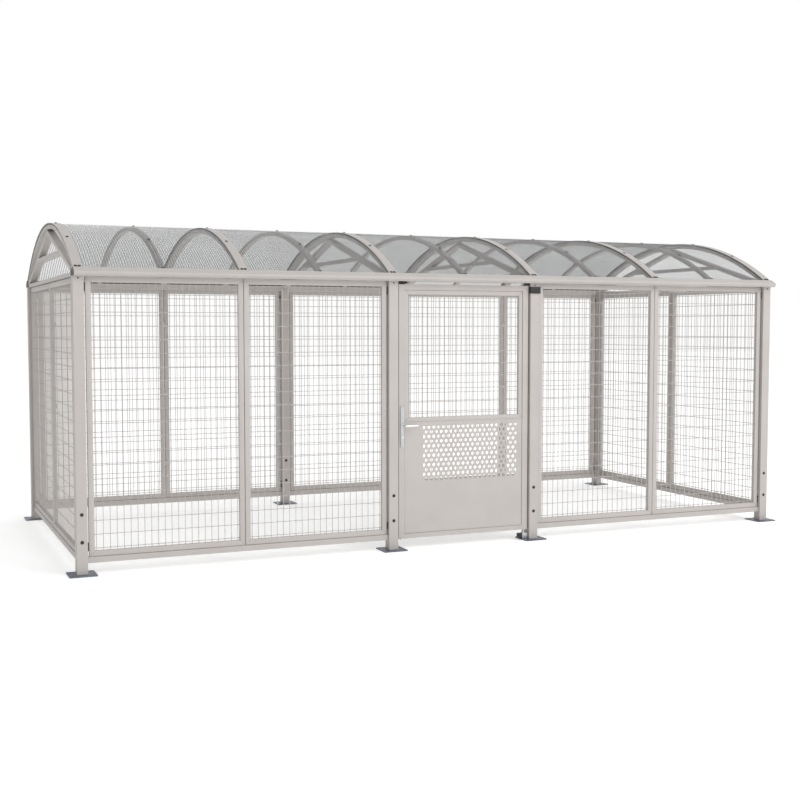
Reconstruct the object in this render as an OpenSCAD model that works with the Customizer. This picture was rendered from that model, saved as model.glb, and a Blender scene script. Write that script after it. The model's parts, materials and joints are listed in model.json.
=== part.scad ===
// Free-standing welded-wire kennel cage with a vaulted clear roof and a pivot-hung door.
// Origin: on the ground at the centre of the plan. +X along the length, -Y to the front, +Z up.

/* [Overall] */
// Distance between a post and the next panel joint, centre to centre
panel_module = 1213; // [900:1:1600]
// Distance between the two door posts, centre to centre
door_module = 1275; // [1000:5:1600]
// Distance between the front and back posts, centre to centre
depth = 2750; // [1800:10:3400]
// Height of the posts above the ground
post_height = 2142; // [1800:1:2700]
// Rise of the roof's outer curve above its own outer edge
roof_rise = 458; // [360:2:560]

/* [Posts and feet] */
// Side of the square posts
post_size = 80; // [60:1:110]
// Wall of the posts
post_wall = 3; // [2:0.5:5]
// Outer corner radius of the posts and the sill rails
tube_corner = 4; // [1:0.5:6]
// Side of the square foot plates
foot_size = 200; // [160:5:260]
// Thickness of the foot plates
foot_thick = 8; // [5:1:16]
// Distance between the anchor holes of a foot plate
anchor_spacing = 150; // [120:5:150]
// Diameter of the anchor holes
anchor_hole = 14; // [8:1:20]
// Height of the stub inside the post
stub_height = 500; // [470:5:900]
// Clearance between the stub and the inside of its post, each side
stub_clearance = 1; // [0.5:0.25:2]
// Height of the lower foot bolt
foot_bolt_low = 240; // [180:5:300]
// Distance between the two foot bolts
foot_bolt_spacing = 200; // [100:5:200]
// Shank diameter of the foot bolts
foot_bolt_size = 12; // [8:1:16]

/* [Sill rails] */
// Height of the rails' underside above the ground
sill_bottom = 84; // [60:1:140]
// Height of the rails' section
rail_height = 44; // [30:1:60]
// Depth of the rails' section
rail_depth = 40; // [30:1:60]
// Wall of the rails
rail_wall = 2.5; // [1.5:0.5:4]

/* [Panels] */
// Visible width of a panel's frame bars
panel_bar = 40; // [25:1:60]
// Depth of a panel's frame bars
panel_bar_depth = 30; // [20:1:40]
// Distance between upright wires
wire_pitch_x = 50; // [30:1:80]
// Distance between level wires
wire_pitch_z = 100; // [50:1:200]
// Diameter of the wires
wire_size = 5; // [3:0.5:6]
// Gap between a panel and a post
panel_gap = 12; // [6:1:20]
// Gap between two neighbouring panels
joint_gap = 4; // [2:1:10]
// Gap between a panel and the sill rail
panel_sill_gap = 2; // [1:0.5:6]
// Gap between a panel and the eave profile
panel_head_gap = 4; // [2:1:20]

/* [Roof] */
// Radial depth of the curved ribs
rib_depth = 31; // [20:1:45]
// Width of the ribs on the post and panel lines
rib_width = 60; // [40:1:80]
// Width of the ribs between them
middle_rib_width = 40; // [30:1:60]
// Thickness of the roof sheets
sheet_thick = 10; // [6:1:16]
// Gap between two roof sheets
sheet_gap = 10; // [4:1:20]
// Width of the cover strips
strip_width = 70; // [60:1:120]
// Thickness of the cover strips
strip_thick = 4; // [2:0.5:6]
// How far the eave profile stands out from the post's centre plane
eave_reach = 105; // [85:1:140]
// Height of the eave profile's upright outer face
eave_face = 32; // [24:1:50]
// Bevel under the eave profile's outer edge
eave_bevel = 16; // [4:1:20]
// Distance from the end posts' outer faces in to the eave's ends
eave_inset = 4; // [0:1:30]
// Depth of the truss bars
truss_bar = 32; // [25:1:50]
// Width of the truss bars
truss_width = 60; // [20:1:60]
// Height of the collar bars above the post tops
collar_above_post = 193; // [150:1:210]

/* [Door] */
// Gap between the door leaf and each door post
door_gap = 12; // [10:1:20]
// Visible width of the leaf's side bars
stile_width = 50; // [50:1:70]
// Depth of the leaf's frame bars
leaf_depth = 40; // [36:1:50]
// Visible height of the leaf's top bar
leaf_head = 45; // [36:1:70]
// Visible height of the leaf's bottom bar
leaf_foot = 38; // [34:1:70]
// Height of the leaf's top edge below the post tops
leaf_top_drop = 23; // [20:1:40]
// Height of the lower sheet's top edge above the ground
sheet_top = 1023; // [700:1:1150]
// Thickness of the lower sheet
door_sheet_thick = 3; // [2:0.5:6]
// Visible width of the infill frame's bars
infill_bar = 35; // [25:1:50]
// Diameter of the holes in the lower sheet
sheet_hole = 28; // [14:1:30]
// Distance between the holes in the lower sheet
sheet_hole_pitch = 44; // [36:1:60]

/* [Lock] */
// Height of the lever above the ground
lever_height = 995; // [960:1:1060]
// Distance of the lever's spindle from the leaf's edge
backset = 28; // [24:1:30]
// Length of the lever's grip
lever_length = 118; // [90:1:140]
// Distance from the spindle down to the key cylinder
cylinder_drop = 92; // [80:1:100]
// Throw of the dead bolt
dead_bolt_throw = 18; // [10:1:24]
// Travel of the drop bolt
drop_bolt_travel = 60; // [20:1:62]

/* [Hidden] */

paint = [0.77, 0.75, 0.73];
zinc = [0.34, 0.37, 0.40];
dark_steel = [0.16, 0.15, 0.15];
bright_steel = [0.72, 0.74, 0.76];
black_plastic = [0.03, 0.03, 0.03];
clear_sheet = [0.60, 0.64, 0.64, 0.5];

// Lines across the length: posts stand on lines 0, 2, 3 and 5, panels join on 1 and 4
steps = [0, panel_module, panel_module, door_module, panel_module, panel_module];
function sum_to(list, i) = i < 0 ? 0 : list[i] + sum_to(list, i - 1);
length = sum_to(steps, 5);
lines_x = [for (i = [0:5]) sum_to(steps, i) - length / 2];
post_lines = [0, 2, 3, 5];
door_line = 2;
half_depth = depth / 2;
half_post = post_size / 2;
function is_post(line) = line == 0 || line == 2 || line == 3 || line == 5;
// Distance from a line to the edge of the panel beside it
function panel_inset(line) = is_post(line) ? half_post + panel_gap : joint_gap / 2;

// Levels
sill_top = sill_bottom + rail_height;
panel_bottom = sill_top + panel_sill_gap;
panel_top = post_height - panel_head_gap;
panel_height = panel_top - panel_bottom;

// Roof curve, as circles about one axis
fine = 360;
roof_edge_y = half_depth + eave_reach;
roof_r = (pow(roof_edge_y, 2) + pow(roof_rise, 2)) / (2 * roof_rise);
skin_gap = 0.3;
sheet_r = roof_r - strip_thick - skin_gap;
rib_r = sheet_r - sheet_thick - skin_gap;
rib_inner_r = rib_r - rib_depth;
lip_in = 40;
roof_end_y = half_depth + lip_in - 2;
// Metal left in the eave under the deepest point of the ribs' seat, which sets the roof's height
seat_web = 4.35;
seat_r = rib_inner_r - skin_gap;
roof_axis_z = post_height + seat_web - sqrt(pow(seat_r, 2) - pow(half_depth + lip_in, 2));
eave_in = 40;

// Trusses
rafter_out_y = half_depth - eave_in;
rafter_top_z = roof_axis_z + rib_inner_r - 4;
rafter_foot_z = roof_axis_z + sqrt(pow(rib_inner_r, 2) - pow(rafter_out_y, 2)) - 6;
rafter_slope = (rafter_top_z - rafter_foot_z) / rafter_out_y;
rafter_fall = truss_bar * sqrt(1 + pow(rafter_slope, 2));
// Clearance of the ties and collars under the rafters
truss_fit = 0.02;
function rafter_top(y) = rafter_top_z - rafter_slope * y;
function rafter_under(y) = rafter_top(y) - rafter_fall;
function rafter_under_y(z) = (rafter_top_z - rafter_fall - truss_fit - z) / rafter_slope;
tie_top = post_height + truss_bar - 2;
collar_bottom = post_height + collar_above_post;

// Door
leaf_left = lines_x[door_line] + half_post + door_gap;
leaf_right = lines_x[door_line + 1] - half_post - door_gap;
leaf_width = leaf_right - leaf_left;
leaf_bottom = sill_bottom + 2;
leaf_top = post_height - leaf_top_drop;
door_y = -half_depth;
leaf_front = door_y - leaf_depth / 2;
leaf_back = door_y + leaf_depth / 2;
pivot_x = leaf_right - stile_width / 2;
hinge_post_face = lines_x[door_line + 1] - half_post;
post_front = -half_depth - half_post;
seat_gap = 1;
pin_r = 8;
pin_play = 0.05;
pin_bore_depth = 28;
leaf_lift = 2;

// Lock
lock_x = leaf_left + backset;
cylinder_z = lever_height - cylinder_drop;
case_depth = 20;
case_top = lever_height + 60;
case_bottom = cylinder_z - 46;
latch_z = lever_height + 32;
dead_z = cylinder_z + 34;
latch_reach = 9;
latch_travel = 9;
bolt_play = 0.3;
bolt_thick = 10;
latch_height = 16;
dead_height = 24;
bolt_length = dead_bolt_throw + 6;
bolt_hollow = bolt_length + latch_travel + 2;
case_width = bolt_hollow + 3;
spindle_r = 5;
plate_thick = 8;
plate_width = 34;
plate_top = lever_height + 155;
plate_bottom = lever_height - 171;
cylinder_r = 9;
plug_r = 6;
strike_thick = 1.5;
drop_bolt_x = leaf_left + 35;
drop_bolt_r = 7;
drop_bolt_y = leaf_back + 14;
drop_bolt_tip = foot_thick + 2 + drop_bolt_travel;
drop_bolt_length = 480;

// A profile drawn in Y and Z, extruded along X and centred on x
module along_x(x, width) {
  translate([x - width / 2, 0, 0])
    rotate([90, 0, 90])
      linear_extrude(width)
        children();
}

module box(low, high) {
  translate(low)
    cube(high - low);
}

// A rectangle about the origin with round corners
module rounded(w, h, r) {
  union() {
    square([w, h - 2 * r], center = true);
    square([w - 2 * r, h], center = true);
    for (i = [-1, 1], j = [-1, 1])
      translate([i * (w / 2 - r), j * (h / 2 - r)])
        circle(r = r, $fn = 48);
  }
}

// Section of a rectangular tube about the origin
module tube_section(w, h, wall) {
  difference() {
    rounded(w, h, tube_corner);
    rounded(w - 2 * wall, h - 2 * wall, max(tube_corner - wall, 0.5));
  }
}

module rod_y(x, z, y0, y1, r) {
  translate([x, y0, z])
    rotate([-90, 0, 0])
      cylinder(r = r, h = y1 - y0, $fn = 48);
}

module rod_z(x, y, z0, z1, r) {
  translate([x, y, z0])
    cylinder(r = r, h = z1 - z0, $fn = 48);
}

// ---------- Frame ----------

// Heights of the bolts through a post's front and back walls
foot_bolt_levels = [foot_bolt_low, foot_bolt_low + foot_bolt_spacing];
top_bolt_level = post_height - 16;
bolt_hole_play = 0.5;
top_bolt_r = 5;

// side is -1 for a front post and 1 for a back post
module post(line, side) {
  x = lines_x[line];
  y = side * half_depth;
  outer = y + side * half_post;
  color(paint)
    difference() {
      translate([x, y, foot_thick])
        linear_extrude(post_height - foot_thick)
          tube_section(post_size, post_size, post_wall);
      for (z = foot_bolt_levels)
        rod_y(x, z, y - post_size, y + post_size, foot_bolt_size / 2 + bolt_hole_play);
      rod_y(x, top_bolt_level, outer - post_wall * 2, outer + post_wall * 2, top_bolt_r + bolt_hole_play);
      if (line == door_line && side < 0)
        strike_openings();
    }
}

// Openings in the latch post for the two bolts of the lock
module strike_openings() {
  face = lines_x[door_line] + half_post;
  grow = 3;
  for (b = [[latch_z, latch_height], [dead_z, dead_height]])
    box([face - post_wall - 1, door_y - bolt_thick / 2 - grow, b[0] - b[1] / 2 - grow],
        [face + 1, door_y + bolt_thick / 2 + grow, b[0] + b[1] / 2 + grow]);
}

module foot_plate(x, y) {
  corner = 12;
  stub = post_size - 2 * post_wall - 2 * stub_clearance;
  stub_wall = 4;
  difference() {
    union() {
      translate([x, y, 0])
        linear_extrude(foot_thick)
          difference() {
            rounded(foot_size, foot_size, corner);
            for (i = [-1, 1], j = [-1, 1])
              translate([i, j] * anchor_spacing / 2)
                circle(d = anchor_hole, $fn = 48);
          }
      translate([x, y, foot_thick - 1])
        linear_extrude(stub_height - foot_thick + 1)
          difference() {
            rounded(stub, stub, 2);
            rounded(stub - 2 * stub_wall, stub - 2 * stub_wall, 1);
          }
    }
    for (z = foot_bolt_levels)
      rod_y(x, z, y - post_size, y + post_size, foot_bolt_size / 2 + bolt_hole_play);
  }
}

module foot_plates() {
  color(zinc)
    for (line = post_lines, side = [-1, 1])
      foot_plate(lines_x[line], side * half_depth);
}

// Through bolt with its head on the outer face and its nut on the inner face
module foot_bolt(x, y, z, side) {
  outer = y + side * half_post;
  inner = y - side * half_post;
  head_thick = 6;
  nut_thick = 9;
  rod_y(x, z, min(outer, inner) - 3, max(outer, inner) + 3, foot_bolt_size / 2);
  rod_y(x, z, min(outer, outer + side * head_thick), max(outer, outer + side * head_thick), foot_bolt_size * 0.9);
  translate([x, min(inner, inner - side * nut_thick), z])
    rotate([-90, 0, 0])
      cylinder(r = foot_bolt_size * 0.9, h = nut_thick, $fn = 6);
}

module post_bolts() {
  head_thick = 5;
  head_r = 9;
  color(dark_steel)
    for (line = post_lines, side = [-1, 1]) {
      x = lines_x[line];
      y = side * half_depth;
      outer = y + side * half_post;
      for (z = foot_bolt_levels)
        foot_bolt(x, y, z, side);
      rod_y(x, top_bolt_level, min(outer - side * 8, outer + side), max(outer - side * 8, outer + side), top_bolt_r);
      rod_y(x, top_bolt_level, min(outer, outer + side * head_thick),
            max(outer, outer + side * head_thick), head_r);
    }
}

// ---------- Sill rails ----------

// Hollow rail along X from x0 to x1 at depth position y
module rail_x(x0, x1, y) {
  translate([x0, y, sill_bottom])
    rotate([90, 0, 90])
      linear_extrude(x1 - x0)
        rail_section();
}

// Hollow rail along Y from y0 to y1 on the line x
module rail_y(x, y0, y1) {
  translate([x, y1, sill_bottom])
    rotate([90, 0, 0])
      linear_extrude(y1 - y0)
        rail_section();
}

module rail_section() {
  translate([0, rail_height / 2])
    tube_section(rail_depth, rail_height, rail_wall);
}

// Rails between the posts all round, leaving out the door bay
module sill_rails() {
  color(paint) {
    for (bay = [[0, 2], [3, 5]])
      rail_x(lines_x[bay[0]] + half_post, lines_x[bay[1]] - half_post, -half_depth);
    for (bay = [[0, 2], [2, 3], [3, 5]])
      rail_x(lines_x[bay[0]] + half_post, lines_x[bay[1]] - half_post, half_depth);
    for (line = [0, 5])
      rail_y(lines_x[line], -half_depth + half_post, half_depth - half_post);
  }
}

// ---------- Panels ----------

// Framed wire panel standing in the XZ plane, from x = 0 to w and z = 0 to h.
// The two layers of wire pass each other with a hair's gap and run into the bars.
module wire_panel(w, h, bar, bar_depth, first_z) {
  opening_w = w - 2 * bar;
  opening_h = h - 2 * bar;
  bite = 2;
  layer = wire_size / 2 + 0.1;
  cells_x = floor((opening_w - 2 * wire_size) / wire_pitch_x);
  cells_z = floor((h - bar - wire_size - first_z) / wire_pitch_z);
  first_x = (w - cells_x * wire_pitch_x) / 2;
  translate([0, bar_depth / 2, 0])
    rotate([90, 0, 0])
      linear_extrude(bar_depth)
        difference() {
          square([w, h]);
          translate([bar, bar])
            square([opening_w, opening_h]);
        }
  for (k = [0:cells_x])
    translate([first_x + k * wire_pitch_x, -layer, bar - bite])
      cylinder(d = wire_size, h = opening_h + 2 * bite, $fn = 16);
  for (k = [0:cells_z])
    translate([bar - bite, layer, first_z + k * wire_pitch_z])
      rotate([0, 90, 0])
        cylinder(d = wire_size, h = opening_w + 2 * bite, $fn = 16);
}

// Height of the lowest level wire above a panel's foot
panel_first_wire = panel_bar + 17;

// Panel in a bay between two lines, on the front or the back
module panel_in_bay(bay, side) {
  x0 = lines_x[bay] + panel_inset(bay);
  x1 = lines_x[bay + 1] - panel_inset(bay + 1);
  color(paint)
    translate([x0, side * half_depth, panel_bottom])
      wire_panel(x1 - x0, panel_height, panel_bar, panel_bar_depth, panel_first_wire);
}

// Panel in an end wall; side is -1 for its front half and 1 for its back half
module panel_in_end(line, side) {
  y0 = side < 0 ? -half_depth + half_post + panel_gap : joint_gap / 2;
  y1 = side < 0 ? -joint_gap / 2 : half_depth - half_post - panel_gap;
  color(paint)
    translate([lines_x[line], y0, panel_bottom])
      rotate([0, 0, 90])
        wire_panel(y1 - y0, panel_height, panel_bar, panel_bar_depth, panel_first_wire);
}

spacer_height = 60;
spacer_depth = 24;
spacer_end_gap = 40;
spacer_levels = [panel_bottom + spacer_end_gap, panel_top - spacer_end_gap - spacer_height];

// Blocks that hold the panels off the posts, top and bottom
module panel_spacers() {
  color(dark_steel)
    for (z = spacer_levels) {
      for (line = post_lines, dir = [-1, 1], side = [-1, 1])
        if (!(line == 0 && dir < 0) && !(line == 5 && dir > 0)
            && !(side < 0 && (line == 2 && dir > 0 || line == 3 && dir < 0)))
          translate([lines_x[line] + dir * (half_post + panel_gap / 2), side * half_depth, z + spacer_height / 2])
            cube([panel_gap, spacer_depth, spacer_height], center = true);
      for (line = [0, 5], side = [-1, 1])
        translate([lines_x[line], side * (half_depth - half_post - panel_gap / 2), z + spacer_height / 2])
          cube([spacer_depth, panel_gap, spacer_height], center = true);
    }
}

joiner_width = 60;
joiner_height = 40;
joiner_thick = 4;
joiner_levels = [for (k = [1, 3, 5]) panel_bottom + panel_height * k / 6];

// Plates on the inside that join two neighbouring panels
module panel_joiners() {
  inner = half_depth - panel_bar_depth / 2 - joiner_thick / 2;
  end_inner = length / 2 - panel_bar_depth / 2 - joiner_thick / 2;
  color(paint)
    for (z = joiner_levels) {
      for (line = [1, 4], side = [-1, 1])
        translate([lines_x[line], side * inner, z])
          cube([joiner_width, joiner_thick, joiner_height], center = true);
      for (dir = [-1, 1])
        translate([dir * end_inner, 0, z])
          cube([joiner_thick, joiner_width, joiner_height], center = true);
    }
}

// ---------- Eaves ----------

eave_lip = 64;
eave_end = length / 2 + half_post - eave_inset;

// Outline of the eave profile for the back wall, before the seat for the ribs is cut
module eave_outline() {
  polygon([
    [half_depth - eave_in, post_height],
    [half_depth + eave_reach - eave_bevel, post_height],
    [half_depth + eave_reach, post_height + eave_bevel],
    [half_depth + eave_reach, post_height + eave_face],
    [half_depth + lip_in + 5, post_height + eave_lip],
    [half_depth + lip_in, post_height + eave_lip],
    [half_depth - eave_in, post_height + eave_lip]
  ]);
}

// The ribs seat on a curved ledge behind the lip
module eave_section() {
  difference() {
    eave_outline();
    intersection() {
      difference() {
        translate([half_depth - eave_in - 1, post_height])
          square([eave_in + lip_in + 1, 200]);
        translate([0, roof_axis_z])
          circle(r = seat_r, $fn = fine);
      }
      square([half_depth + lip_in, 2 * post_height]);
    }
  }
}

module eaves() {
  color(paint)
    for (side = [0, 1])
      mirror([0, side, 0])
        along_x(0, 2 * eave_end)
          eave_section();
}

module eave_end_caps() {
  cap = 3;
  color(black_plastic)
    for (side = [0, 1], dir = [-1, 1])
      mirror([0, side, 0])
        along_x(dir * (eave_end + cap / 2), cap)
          eave_section();
}

// ---------- Roof ----------

// Part of a ring about the roof's axis, in Y and Z, out to |y| = reach
module roof_ring(outer_r, thick, reach) {
  intersection() {
    translate([0, roof_axis_z])
      difference() {
        circle(r = outer_r, $fn = fine);
        circle(r = outer_r - thick, $fn = fine);
      }
    translate([-reach, post_height])
      square([2 * reach, 2 * roof_rise]);
  }
}

module main_ribs() {
  color(paint)
    for (x = lines_x)
      along_x(x, rib_width)
        roof_ring(rib_r, rib_depth, roof_end_y);
}

module middle_ribs() {
  color(paint)
    for (bay = [0:4])
      along_x((lines_x[bay] + lines_x[bay + 1]) / 2, middle_rib_width)
        roof_ring(rib_r, rib_depth, roof_end_y);
}

module cover_strips() {
  color(paint)
    for (x = lines_x)
      along_x(x, strip_width)
        roof_ring(roof_r, strip_thick, roof_end_y);
}

module roof_sheet(bay) {
  outer = half_post - sheet_gap / 2;
  x0 = lines_x[bay] + (bay == 0 ? -outer : sheet_gap / 2);
  x1 = lines_x[bay + 1] - (bay == 4 ? -outer : sheet_gap / 2);
  color(clear_sheet)
    along_x((x0 + x1) / 2, x1 - x0)
      roof_ring(sheet_r, sheet_thick, roof_end_y);
}

roof_bolt_angles = [7, 20.5];
roof_bolt_r = 8;
roof_bolt_height = 6;

// Bolt head standing on the circle of radius r, at an angle from the crown
module roof_bolt(x, angle, r) {
  translate([x, 0, roof_axis_z])
    rotate([angle, 0, 0])
      translate([0, 0, r + 0.1])
        cylinder(r = roof_bolt_r, h = roof_bolt_height, $fn = 24);
}

module roof_bolts() {
  pair = 13;
  foot_angle = asin((roof_end_y - 16) / roof_r);
  color(dark_steel)
    for (side = [-1, 1]) {
      for (x = lines_x, a = roof_bolt_angles)
        roof_bolt(x, side * a, roof_r);
      for (x = lines_x, dx = [-pair, pair])
        roof_bolt(x + dx, side * foot_angle, roof_r);
      for (bay = [0:4], a = [each roof_bolt_angles, foot_angle])
        roof_bolt((lines_x[bay] + lines_x[bay + 1]) / 2, side * a, sheet_r);
    }
}

// ---------- Trusses ----------

module truss_rafters() {
  meet = 1;
  color(paint)
    for (line = post_lines, side = [0, 1])
      mirror([0, side, 0])
        along_x(lines_x[line], truss_width)
          polygon([
            [meet, rafter_top(meet)],
            [meet, rafter_under(meet)],
            [rafter_out_y, rafter_under(rafter_out_y)],
            [rafter_out_y, rafter_top(rafter_out_y)]
          ]);
}

module truss_collars() {
  collar_top = collar_bottom + truss_bar;
  color(paint)
    for (line = post_lines)
      along_x(lines_x[line], truss_width)
        polygon([
          [-rafter_under_y(collar_bottom), collar_bottom],
          [rafter_under_y(collar_bottom), collar_bottom],
          [rafter_under_y(collar_top), collar_top],
          [-rafter_under_y(collar_top), collar_top]
        ]);
}

module gable_ties() {
  shoulder = min(rafter_out_y, rafter_under_y(tie_top));
  heel = min(tie_top, rafter_under(rafter_out_y) - truss_fit);
  color(paint)
    for (line = [0, 5])
      along_x(lines_x[line], truss_width)
        polygon([
          [-rafter_out_y, post_height],
          [rafter_out_y, post_height],
          [rafter_out_y, heel],
          [shoulder, tie_top],
          [-shoulder, tie_top],
          [-rafter_out_y, heel]
        ]);
}

// ---------- Door leaf ----------

mid_bar = 38;
ledge_width = 8;
ledge_thick = 4;

// Outline of the leaf's bars, with the lower opening made smaller by ledge on three sides
module leaf_bars(ledge) {
  difference() {
    square([leaf_width, leaf_top - leaf_bottom]);
    translate([stile_width + ledge, leaf_foot + ledge])
      square([leaf_width - 2 * stile_width - 2 * ledge, sheet_top - mid_bar - leaf_bottom - leaf_foot - ledge]);
    translate([stile_width, sheet_top - leaf_bottom])
      square([leaf_width - 2 * stile_width, leaf_top - sheet_top - leaf_head]);
  }
}

module leaf_frame() {
  sheet_back = leaf_front + sheet_recess + door_sheet_thick;
  color(paint)
    difference() {
      union() {
        translate([leaf_left, leaf_back, leaf_bottom])
          rotate([90, 0, 0])
            linear_extrude(leaf_depth)
              leaf_bars(0);
        translate([leaf_left, sheet_back + ledge_thick, leaf_bottom])
          rotate([90, 0, 0])
            linear_extrude(ledge_thick)
              leaf_bars(ledge_width);
      }
      // Rebate for the lower sheet in front of the middle bar
      box([leaf_left + stile_width, leaf_front - 1, sheet_top - mid_bar - 1],
          [leaf_right - stile_width, sheet_back, sheet_top + 1]);
      // Pivot pin bores
      rod_z(pivot_x, door_y, leaf_bottom - 1, leaf_bottom + pin_bore_depth, pin_r + pin_play);
      rod_z(pivot_x, door_y, leaf_top - pin_bore_depth, leaf_top + 1, pin_r + pin_play);
      // Pocket for the lock case, open at the leaf's edge
      box([leaf_left - 1, door_y - case_depth / 2 - bolt_play, case_bottom - bolt_play],
          [leaf_left + case_width + bolt_play, door_y + case_depth / 2 + bolt_play, case_top + bolt_play]);
      rod_y(lock_x, lever_height, leaf_front - 1, leaf_back + 1, spindle_r + 1);
      rod_y(lock_x, cylinder_z, leaf_front - 1, leaf_back + 1, cylinder_r + 0.5);
    }
}

sheet_recess = 4;
sheet_edge_gap = 3;

// Lower sheet with a plain field of staggered round holes
module leaf_sheet() {
  w = leaf_width - 2 * stile_width - 2 * sheet_edge_gap;
  z0 = leaf_bottom + leaf_foot + sheet_edge_gap;
  h = sheet_top - 2 - z0;
  field_right = 60;
  field_w = 880;
  field_top = 45;
  field_h = 480;
  row_step = sheet_hole_pitch * sqrt(3) / 2;
  rows = floor((field_h - sheet_hole) / row_step);
  columns = floor((field_w - sheet_hole) / sheet_hole_pitch);
  color(paint)
    translate([leaf_left + stile_width + sheet_edge_gap, leaf_front + sheet_recess + door_sheet_thick, z0])
      rotate([90, 0, 0])
        linear_extrude(door_sheet_thick)
          difference() {
            square([w, h]);
            for (row = [0:rows], column = [0:columns - row % 2])
              translate([w - field_right - (column + (row % 2) / 2) * sheet_hole_pitch,
                         h - field_top - row * row_step])
                circle(d = sheet_hole, $fn = 24);
          }
}

// Framed wire infill in the upper half of the leaf
module leaf_infill() {
  gap = 1;
  x0 = leaf_left + stile_width + gap;
  x1 = leaf_right - stile_width - gap;
  z0 = sheet_top;
  z1 = leaf_top - leaf_head - gap;
  first = wire_pitch_z - (z0 - panel_bottom - panel_first_wire) % wire_pitch_z;
  color(paint)
    translate([x0, door_y, z0])
      wire_panel(x1 - x0, z1 - z0, infill_bar, panel_bar_depth,
                 first > infill_bar + wire_size ? first : first + wire_pitch_z);
}

// ---------- Lock ----------

module lock_case() {
  color(bright_steel)
    difference() {
      box([leaf_left + 0.5, door_y - case_depth / 2, case_bottom],
          [leaf_left + case_width, door_y + case_depth / 2, case_top]);
      for (b = [[latch_z, latch_height], [dead_z, dead_height]])
        box([leaf_left - 1, door_y - bolt_thick / 2 - bolt_play, b[0] - b[1] / 2 - bolt_play],
            [leaf_left + bolt_hollow, door_y + bolt_thick / 2 + bolt_play, b[0] + b[1] / 2 + bolt_play]);
      rod_y(lock_x, lever_height, leaf_front - 1, leaf_back + 1, spindle_r + 1);
      rod_y(lock_x, cylinder_z, leaf_front - 1, leaf_back + 1, cylinder_r + 0.5);
    }
}

module lock_plate(y0, y1) {
  difference() {
    box([lock_x - plate_width / 2, y0, plate_bottom], [lock_x + plate_width / 2, y1, plate_top]);
    rod_y(lock_x, lever_height, y0 - 1, y1 + 1, spindle_r + pin_play);
    rod_y(lock_x, cylinder_z, y0 - 1, y1 + 1, cylinder_r + 0.5);
  }
}

module lock_plates() {
  color(bright_steel) {
    lock_plate(leaf_front - plate_thick, leaf_front);
    lock_plate(leaf_back, leaf_back + plate_thick);
  }
}

// Lever with its neck at y0 standing off in direction dir along Y
module lever(y0, dir) {
  neck = 48;
  neck_r = 10;
  grip_r = 9;
  y_grip = y0 + dir * neck;
  rod_y(lock_x, lever_height, min(y0, y_grip), max(y0, y_grip), neck_r);
  translate([lock_x, y_grip, lever_height])
    rotate([0, 90, 0])
      cylinder(r = grip_r, h = lever_length - grip_r, $fn = 48);
  translate([lock_x, y_grip, lever_height])
    sphere(r = neck_r, $fn = 48);
  translate([lock_x + lever_length - grip_r, y_grip, lever_height])
    sphere(r = grip_r, $fn = 48);
}

lever_play = 0.3;

module lever_outer() {
  color(bright_steel)
    union() {
      lever(leaf_front - plate_thick - lever_play, -1);
      rod_y(lock_x, lever_height, leaf_front - plate_thick - lever_play - 2,
            leaf_back + plate_thick + lever_play + 20, spindle_r);
    }
}

module lever_inner() {
  color(bright_steel)
    difference() {
      lever(leaf_back + plate_thick + lever_play, 1);
      rod_y(lock_x, lever_height, leaf_back, leaf_back + plate_thick + lever_play + 22, spindle_r + 0.02);
    }
}

cylinder_stand = 4;
plug_length = 30;

module cylinder_body() {
  y0 = leaf_front - plate_thick - cylinder_stand;
  color(bright_steel)
    difference() {
      rod_y(lock_x, cylinder_z, y0, leaf_back + plate_thick + cylinder_stand, cylinder_r);
      rod_y(lock_x, cylinder_z, y0 - 1, y0 + plug_length + 0.5, plug_r + pin_play);
    }
}

// Turning plug with its keyway
module key_plug() {
  y0 = leaf_front - plate_thick - cylinder_stand;
  keyway_w = 2;
  keyway_h = 8;
  color(bright_steel)
    difference() {
      rod_y(lock_x, cylinder_z, y0, y0 + plug_length, plug_r);
      box([lock_x - keyway_w / 2, y0 - 1, cylinder_z - keyway_h / 2],
          [lock_x + keyway_w / 2, y0 + plug_length - 4, cylinder_z + keyway_h / 2]);
    }
}

module latch_bolt() {
  color(bright_steel)
    box([leaf_left - latch_reach, door_y - bolt_thick / 2, latch_z - latch_height / 2],
        [leaf_left - latch_reach + bolt_length, door_y + bolt_thick / 2, latch_z + latch_height / 2]);
}

module dead_bolt() {
  color(bright_steel)
    box([leaf_left + 1, door_y - bolt_thick / 2, dead_z - dead_height / 2],
        [leaf_left + 1 + bolt_length, door_y + bolt_thick / 2, dead_z + dead_height / 2]);
}

// Keep on the latch post, with a slot for each bolt
module strike_plate() {
  face = lines_x[door_line] + half_post;
  margin = 24;
  color(bright_steel)
    difference() {
      box([face, door_y - 13, dead_z - dead_height / 2 - margin],
          [face + strike_thick, door_y + 13, latch_z + latch_height / 2 + margin]);
      for (b = [[latch_z, latch_height], [dead_z, dead_height]])
        box([face - 1, door_y - bolt_thick / 2 - 2, b[0] - b[1] / 2 - 2],
            [face + strike_thick + 1, door_y + bolt_thick / 2 + 2, b[0] + b[1] / 2 + 2]);
    }
}

// ---------- Pivots ----------

arm_half_depth = 20;
arm_thick = 8;

// Arm under the eave with the pin that the leaf's head turns on
module top_pivot_arm() {
  arm_bottom = leaf_top + 5;
  color(dark_steel)
    union() {
      box([pivot_x - 24, door_y - arm_half_depth, arm_bottom], [hinge_post_face, door_y + arm_half_depth, arm_bottom + arm_thick]);
      box([pivot_x + 4, door_y - arm_half_depth, arm_bottom + arm_thick - 1],
          [hinge_post_face, door_y + arm_half_depth, post_height]);
      rod_z(pivot_x, door_y, leaf_top - pin_bore_depth + 4, arm_bottom + 1, pin_r);
    }
}

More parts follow.
